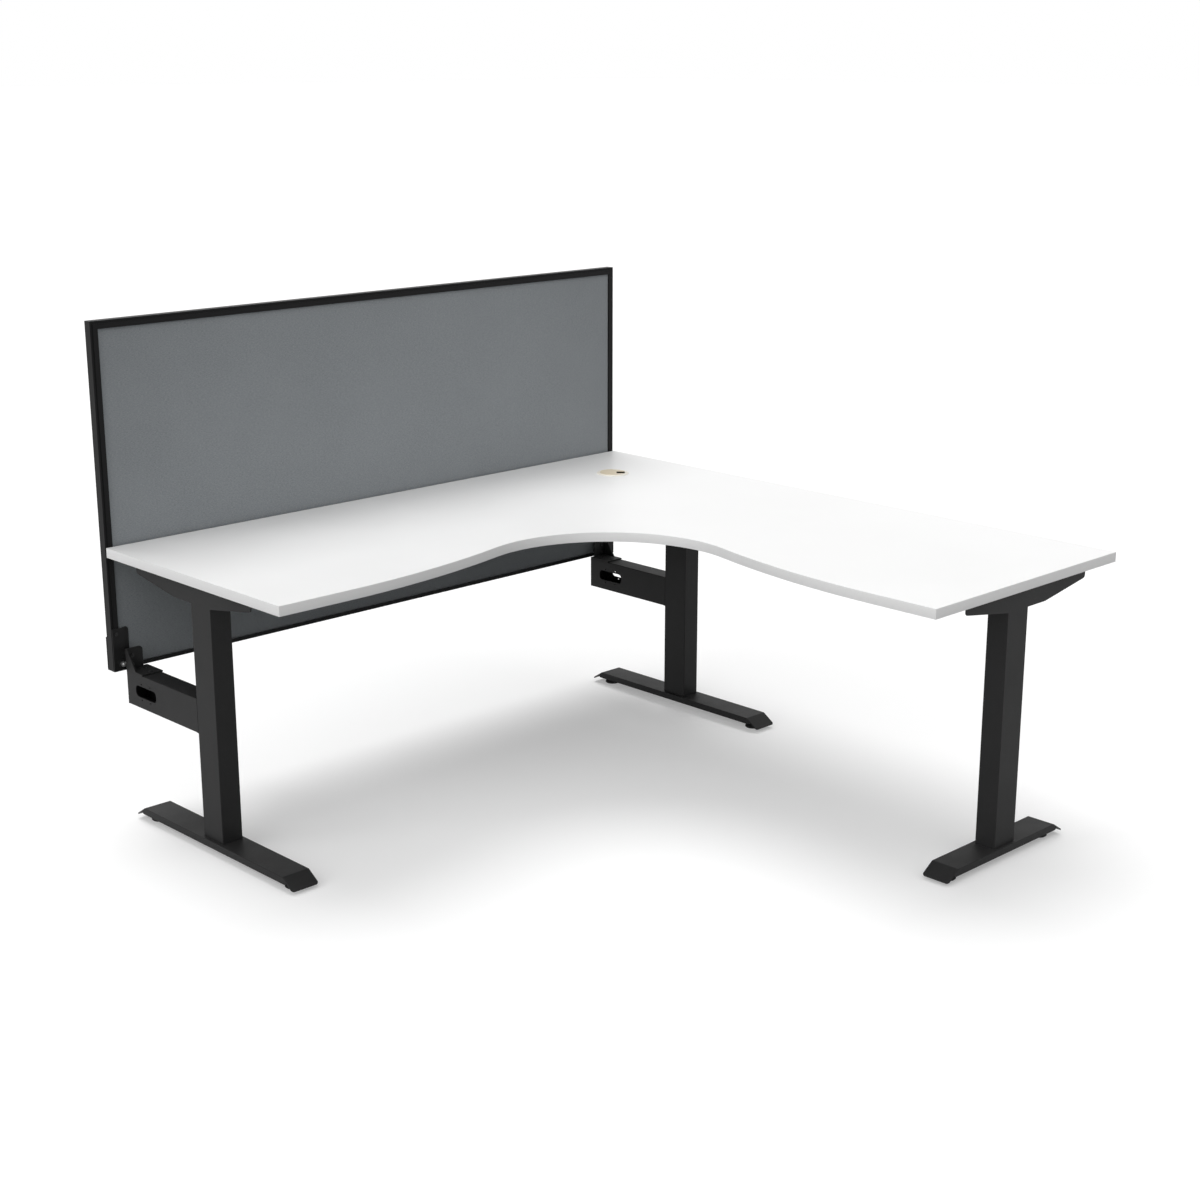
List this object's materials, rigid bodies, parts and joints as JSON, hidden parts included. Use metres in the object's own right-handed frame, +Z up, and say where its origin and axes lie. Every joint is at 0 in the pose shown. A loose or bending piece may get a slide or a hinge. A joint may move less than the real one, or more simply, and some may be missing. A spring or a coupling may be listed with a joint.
{
  "type": "corner workstation",
  "caption": "Corner desk with a waved L-shaped top on black fixed-height T legs with screw levellers, a turning cable port cap and a grey fabric screen on cantilever arms.",
  "frame": {"origin": "on the floor, at the middle of the part's box", "axes": "+Z up, +X along the screen towards the corner leg, +Y from the sitter towards the screen"},
  "size_m": [1.8, 1.839, 1.297],
  "materials": {
    "worktop_melamine": "white melamine faced board, fine texture",
    "edge_plastic": "white edge band, satin",
    "port_ring_plastic": "cream moulded plastic, satin",
    "port_cap_plastic": "cream moulded plastic, satin",
    "black_steel": "black powder coat, fine texture, satin",
    "black_bolts": "blackened steel",
    "zinc_steel": "zinc plated steel",
    "leveller_plastic": "black moulded plastic",
    "black_plastic": "black moulded plastic",
    "screen_frame_metal": "black coated frame section, satin",
    "screen_fabric": "mid grey woven fabric",
    "core_board": "raw particle board"
  },
  "bodies": {
    "desk": {"worktop_board": "worktop_melamine", "edge_band": "edge_plastic", "cable_port_ring": "port_ring_plastic", "column_left": "black_steel", "foot_left": "black_steel", "top_bracket_left": "black_steel", "column_corner": "black_steel", "foot_corner": "black_steel", "top_bracket_corner": "black_steel", "column_right": "black_steel", "foot_right": "black_steel", "top_bracket_right": "black_steel", "column_base_plates": "black_steel", "column_top_plates": "black_steel", "bracket_floor_plates": "black_steel", "foot_bolts": "black_bolts", "bracket_bolts": "black_bolts", "leveller_nuts": "zinc_steel", "rear_beam": "black_steel", "side_beam": "black_steel", "beam_end_plates": "black_steel", "beam_bolts": "black_bolts", "screen_arm_left": "black_steel", "screen_arm_corner": "black_steel", "arm_flanges": "black_steel", "arm_nut_plates": "zinc_steel", "arm_bolts": "black_bolts", "arm_end_caps": "black_plastic", "screen_bracket_left": "black_steel", "screen_bracket_corner": "black_steel", "screen_bracket_base_screws": "black_bolts", "screen_bracket_screws": "black_bolts", "screen_bracket_spacers": "zinc_steel", "screen_clip_left": "black_steel", "screen_clip_corner": "black_steel", "screen_clip_bolts": "zinc_steel", "screen_clip_nuts": "zinc_steel", "screen_clip_screws": "black_bolts", "screen_top_rail": "screen_frame_metal", "screen_bottom_rail": "screen_frame_metal", "screen_left_stile": "screen_frame_metal", "screen_right_stile": "screen_frame_metal", "screen_core": "core_board", "screen_front_fabric": "screen_fabric", "screen_back_fabric": "screen_fabric", "screen_corner_keys": "black_plastic", "top_screws": "zinc_steel"},
    "port_cap": {"cable_port_cap": "port_cap_plastic"},
    "leveller_left_front": {"leveller_pad_left_front": "leveller_plastic", "leveller_stud_left_front": "zinc_steel"},
    "leveller_left_back": {"leveller_pad_left_back": "leveller_plastic", "leveller_stud_left_back": "zinc_steel"},
    "leveller_corner_front": {"leveller_pad_corner_front": "leveller_plastic", "leveller_stud_corner_front": "zinc_steel"},
    "leveller_corner_back": {"leveller_pad_corner_back": "leveller_plastic", "leveller_stud_corner_back": "zinc_steel"},
    "leveller_right_front": {"leveller_pad_right_front": "leveller_plastic", "leveller_stud_right_front": "zinc_steel"},
    "leveller_right_back": {"leveller_pad_right_back": "leveller_plastic", "leveller_stud_right_back": "zinc_steel"}
  },
  "joints": [
    {"name": "port_cap_turn", "type": "hinge", "parent": "desk", "child": "port_cap", "pos_m": [0.66, 0.6405, 0.725], "axis": [0, 0, 1], "continuous": true},
    {"name": "leveller_left_front_drop", "type": "slide", "parent": "desk", "child": "leveller_left_front", "axis": [0, 0, -1], "range_m": [0, 0.01]},
    {"name": "leveller_left_back_drop", "type": "slide", "parent": "desk", "child": "leveller_left_back", "axis": [0, 0, -1], "range_m": [0, 0.01]},
    {"name": "leveller_corner_front_drop", "type": "slide", "parent": "desk", "child": "leveller_corner_front", "axis": [0, 0, -1], "range_m": [0, 0.01]},
    {"name": "leveller_corner_back_drop", "type": "slide", "parent": "desk", "child": "leveller_corner_back", "axis": [0, 0, -1], "range_m": [0, 0.01]},
    {"name": "leveller_right_front_drop", "type": "slide", "parent": "desk", "child": "leveller_right_front", "axis": [0, 0, -1], "range_m": [0, 0.01]},
    {"name": "leveller_right_back_drop", "type": "slide", "parent": "desk", "child": "leveller_right_back", "axis": [0, 0, -1], "range_m": [0, 0.01]}
  ]
}
